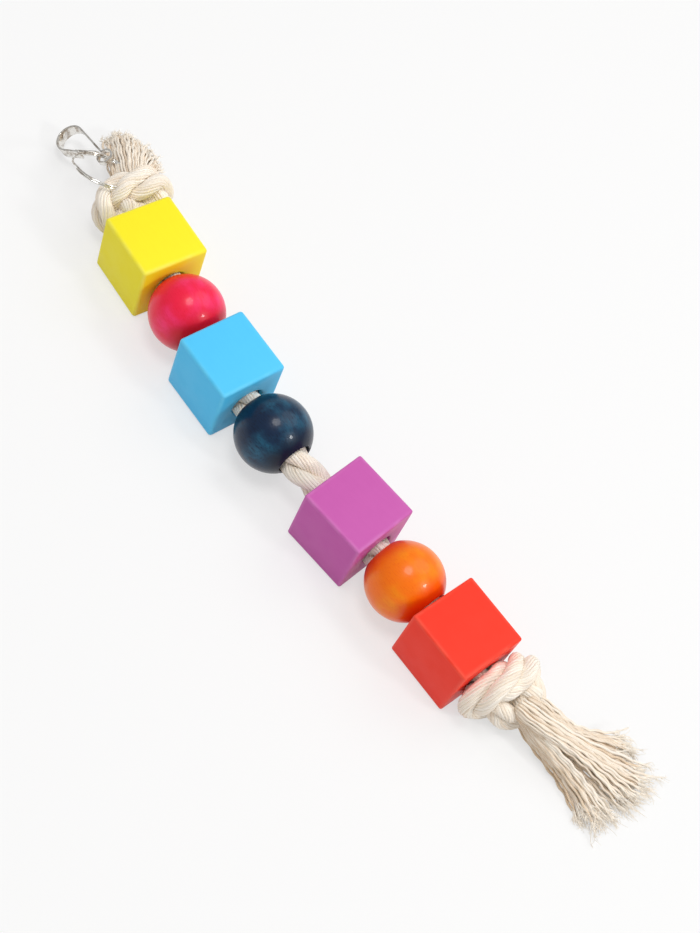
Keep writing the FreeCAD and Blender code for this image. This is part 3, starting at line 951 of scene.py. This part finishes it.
top_guides = [
    [
        (-113.0, 7.5, 10.0), (-120.0, 9.5, 11.0), (-126.5, 13.0, 9.0), (-132.0, 17.0, 6.0),
        (-136.5, 20.5, 3.5),
    ],
    [
        (-113.0, 10.0, 14.0), (-120.0, 12.5, 15.0), (-127.0, 16.5, 12.5), (-133.0, 20.5, 8.5),
        (-137.5, 23.5, 4.5),
    ],
    [
        (-113.0, 12.5, 16.0), (-119.5, 16.0, 16.5), (-125.5, 20.0, 14.0), (-131.0, 23.5, 10.0),
        (-135.0, 26.5, 6.0),
    ],
    [
        (-112.0, 15.0, 15.5), (-117.5, 19.5, 15.5), (-122.0, 23.5, 12.5), (-126.0, 26.5, 9.0),
        (-129.5, 29.0, 5.0),
    ],
    [
        (-110.5, 17.0, 13.0), (-114.5, 21.5, 13.0), (-118.0, 25.5, 10.5), (-121.0, 28.5, 7.0),
        (-123.5, 31.0, 3.5),
    ],
    [
        (-109.0, 18.0, 9.5), (-111.5, 22.0, 9.5), (-113.5, 25.0, 8.0), (-115.5, 27.5, 5.0),
        (-117.0, 29.5, 2.5),
    ],
]
top_layers = [(24, 0.0, 1.0), (24, 0.8 * MM, 0.98), (22, 1.8 * MM, 0.96), (18, 3.2 * MM, 0.93)]
top_fray_reach = 4.0 * MM

bundle = Bundle()
fan_of_yarns(bundle, top_guides, top_layers, 5, top_fray_reach, yarn_swing)
top_tassel = bundle.piece("top_yarn_tassel", cotton, "rope", "top_tassel")


# Split ring
# Two turns of thin spring wire, nickel-plated, one on the other, with the wire crossing over once.
# It is threaded through the top knot and through the hook's eye.

ring_wire = 0.75 * MM
ring_pitch = 0.70 * MM
ring_radius = 10.75 * MM
ring_crossing = 24.0
ring_end_gap = 3.0
ring_crossing_place = 205.0
ring_steps = 96
crossing_steps = 8
ring_centre = (-117.1, 2.9, 18.5)
ring_normal = Vector((-0.191, 0.414, 0.890)).normalized()
ring_toward_knot = Vector((0.778, 0.616, -0.119))


def drawn_on(x, z, origin):
    """The turn and place of a piece that is drawn about its own X and Z."""
    z = Vector(z).normalized()
    x = (Vector(x) - z * Vector(x).dot(z)).normalized()
    y = z.cross(x)
    return Matrix.Translation(Vector(origin)) @ Matrix((x, y, z)).transposed().to_4x4()


nickel, nodes, links, shader = new_material("nickel_plate")
coordinates = nodes.new("ShaderNodeTexCoord")
reflection_and_roughness_patches = noise_node(nickel.node_tree, coordinates.outputs["Object"], 420.0, 4.0)
reflection_streak_and_bump_noise = noise_node(nickel.node_tree, coordinates.outputs["Object"], 1.0, 3.0, (600, 3800, 3800), 0.6)
# The brownish patches and fine dark streaks in the plating's colour are painted dark reflections that break
# up the bright metal.
painted_dark_reflection_patches = range_node(nickel.node_tree, reflection_and_roughness_patches, 0.48, 0.66)
colour = blend_colours(nickel.node_tree, painted_dark_reflection_patches, (0.86, 0.84, 0.80, 1), (0.46, 0.40, 0.34, 1))
painted_reflection_streaks = range_node(nickel.node_tree, reflection_streak_and_bump_noise, 0.58, 0.68)
colour = blend_colours(nickel.node_tree, painted_reflection_streaks, colour, (0.26, 0.23, 0.21, 1))
links.new(colour, shader.inputs["Base Color"])
links.new(range_node(nickel.node_tree, reflection_and_roughness_patches, 0.3, 0.75, 0.12, 0.26), shader.inputs["Roughness"])
shader.inputs["Metallic"].default_value = 1.0
bump = nodes.new("ShaderNodeBump")
bump.inputs["Strength"].default_value = 0.15
bump.inputs["Distance"].default_value = 0.00003
links.new(reflection_streak_and_bump_noise, bump.inputs["Height"])
links.new(bump.outputs["Normal"], shader.inputs["Normal"])

ring_matrix = drawn_on(ring_toward_knot, ring_normal, toy_place(ring_centre))
ring_flat = 360 - ring_crossing - ring_end_gap
first_angle = math.radians(ring_crossing_place + ring_crossing / 2 + ring_end_gap)
bpy.ops.object.select_all(action="DESELECT")
bpy.ops.mesh.primitive_circle_add(
    vertices=12, radius=ring_wire / 2, fill_type="NGON", rotation=(math.pi / 2, 0, first_angle)
)
ring = bpy.context.object
ring.name = "split_ring_wire"
ring.location = (ring_radius * math.cos(first_angle), ring_radius * math.sin(first_angle), -ring_pitch / 2)
settle(ring)
bpy.ops.object.mode_set(mode="EDIT")
bpy.ops.mesh.select_all(action="SELECT")
bpy.ops.mesh.spin(steps=ring_steps, angle=-math.radians(ring_flat), center=(0, 0, 0), axis=(0, 0, 1))
step_turn = -math.radians(ring_crossing / crossing_steps)
for _ in range(crossing_steps):
    bpy.ops.mesh.spin(steps=1, angle=step_turn, center=(0, 0, 0), axis=(0, 0, 1))
    bpy.ops.transform.translate(value=(0, 0, ring_pitch / crossing_steps))
bpy.ops.mesh.spin(steps=ring_steps, angle=-math.radians(ring_flat), center=(0, 0, 0), axis=(0, 0, 1))
bpy.ops.mesh.select_all(action="SELECT")
bpy.ops.mesh.remove_doubles(threshold=0.00001)
bpy.ops.mesh.normals_make_consistent(inside=False)
bpy.ops.object.mode_set(mode="OBJECT")
ring.matrix_world = ring_matrix
settle(ring)
smooth_piece(ring, 50)
ring.data.materials.append(nickel)
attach(ring, "split_ring")
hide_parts("split_ring")


# Snap hook
# A nickel-plated steel strip bent to a teardrop: a wide bow, a pinched neck and a small eye that
# hangs on the split ring, with the nose open towards the gate.

strip_width = 4.2 * MM
strip_eye_width = 1.8 * MM
strip_thickness = 0.7 * MM
bow_radius = 5.0 * MM
eye_to_bow = 17.5 * MM
neck_reach = 2.5 * MM
neck_half_gap = 0.9 * MM
nose_length = 6.5 * MM
tab_length = 1.3 * MM
strip_edge = 0.14 * MM
bend_steps = 24
widening_start = 3.2 * MM  # from the eye's middle, where the strip starts to widen
widening_run = 5.0 * MM
ring_eye_angle = math.radians(96.0)
hook_axis = Vector((-0.893, -0.117, -0.434))
hook_loop_normal = Vector((-0.333, -0.485, 0.808))

eye_x = ring_radius * math.cos(ring_eye_angle)
eye_y = ring_radius * math.sin(ring_eye_angle)
eye_place = ring_matrix @ Vector((eye_x, eye_y, 0))
hook_matrix = drawn_on(hook_axis, hook_loop_normal, eye_place)
neck_to_bow = Vector((eye_to_bow - neck_reach, -neck_half_gap, 0))
leg_angle = math.atan2(neck_to_bow.y, neck_to_bow.x) + math.asin(bow_radius / neck_to_bow.length)
leg_length = math.sqrt(neck_to_bow.length**2 - bow_radius**2)
back_leg = Vector((math.cos(-leg_angle), math.sin(-leg_angle), 0))
back_touch = Vector((neck_reach, -neck_half_gap, 0)) + back_leg * leg_length
front_touch = Vector((back_touch.x, -back_touch.y, 0))
nose_way = Vector((-back_leg.x, back_leg.y, 0))


def extrude_steps(move, steps):
    for _ in range(steps):
        bpy.ops.mesh.extrude_region_move(TRANSFORM_OT_translate={"value": tuple(move / steps)})


bpy.ops.object.select_all(action="DESELECT")
bpy.ops.mesh.primitive_plane_add(size=strip_width, location=(0, 0, 0), rotation=(0, math.pi / 2, 0))
hook = bpy.context.object
hook.name = "snap_hook_strip"
settle(hook)
bpy.ops.object.mode_set(mode="EDIT")
bpy.ops.mesh.select_all(action="DESELECT")
bpy.ops.mesh.select_mode(type="VERT")
bpy.ops.object.mode_set(mode="OBJECT")
for vertex in hook.data.vertices:
    vertex.select = vertex.co.y > 0
bpy.ops.object.mode_set(mode="EDIT")
bpy.ops.mesh.delete(type="VERT")
bpy.ops.mesh.select_all(action="SELECT")
start = front_touch + nose_way * nose_length
bpy.ops.transform.translate(value=(start.x, start.y + strip_width / 2, 0))
extrude_steps(nose_way * -nose_length, 4)
bow_turn = math.pi + 2 * leg_angle
bpy.ops.mesh.spin(steps=bend_steps, angle=bow_turn, center=(eye_to_bow, 0, 0), axis=(0, 0, 1))
extrude_steps(-back_leg * leg_length, 10)
eye_turn = 2 * math.pi - 2 * math.atan2(neck_half_gap, neck_reach)
bpy.ops.mesh.spin(steps=bend_steps, angle=eye_turn, center=(0, 0, 0), axis=(0, 0, 1))
extrude_steps(Vector((tab_length, 0, 0)), 2)
bpy.ops.object.mode_set(mode="OBJECT")
for vertex in hook.data.vertices:
    widened = min(max((vertex.co.x - widening_start) / widening_run, 0), 1)
    width = strip_eye_width + (strip_width - strip_eye_width) * widened
    vertex.co.z *= width / strip_width
wall = hook.modifiers.new("strip", "SOLIDIFY")
wall.thickness = strip_thickness
wall.offset = 0
soften = hook.modifiers.new("edges", "BEVEL")
soften.width = strip_edge
soften.segments = 2
soften.limit_method = "ANGLE"
soften.angle_limit = math.radians(50)
apply_modifiers(hook)
hook.matrix_world = hook_matrix
settle(hook)
smooth_piece(hook, 40)
hook.data.materials.append(nickel)
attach(hook, "snap_hook")
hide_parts("snap_hook")


# Hook gate
# A thin sprung leaf of nickel-plated steel. Its root is rolled and held in the hook's neck, and its
# end springs up against the inside of the nose.

gate_width = 3.0 * MM
gate_thickness = 0.4 * MM
gate_root_reach = 3.45 * MM
gate_root_radius = 0.42 * MM
gate_nose_overlap = 2.2 * MM
gate_clearance = 0.2 * MM
gate_edge = 0.1 * MM

inward = Vector((-nose_way.y, nose_way.x, 0))
drop = strip_thickness / 2 + gate_clearance + gate_thickness / 2
gate_end = front_touch + nose_way * (nose_length - gate_nose_overlap) + inward * drop
gate_root = Vector((gate_root_reach, 0, 0))
gate_way = gate_end - gate_root
bpy.ops.object.select_all(action="DESELECT")
bpy.ops.mesh.primitive_cube_add(size=1)
gate = bpy.context.object
gate.name = "hook_gate_leaf"
gate.scale = (gate_way.length, gate_thickness, gate_width)
gate.rotation_euler = (0, 0, math.atan2(gate_way.y, gate_way.x))
gate.location = (gate_root + gate_end) / 2
settle(gate)
soften = gate.modifiers.new("edges", "BEVEL")
soften.width = gate_edge
soften.segments = 2
apply_modifiers(gate)
bpy.ops.object.select_all(action="DESELECT")
bpy.ops.mesh.primitive_cylinder_add(
    vertices=20, radius=gate_root_radius, depth=strip_eye_width, location=gate_root
)
roll = bpy.context.object
gate.select_set(True)
bpy.context.view_layer.objects.active = gate
bpy.ops.object.join()
gate.matrix_world = hook_matrix
settle(gate)
smooth_piece(gate, 40)
gate.data.materials.append(nickel)
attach(gate, "hook_gate")
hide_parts("hook_gate")
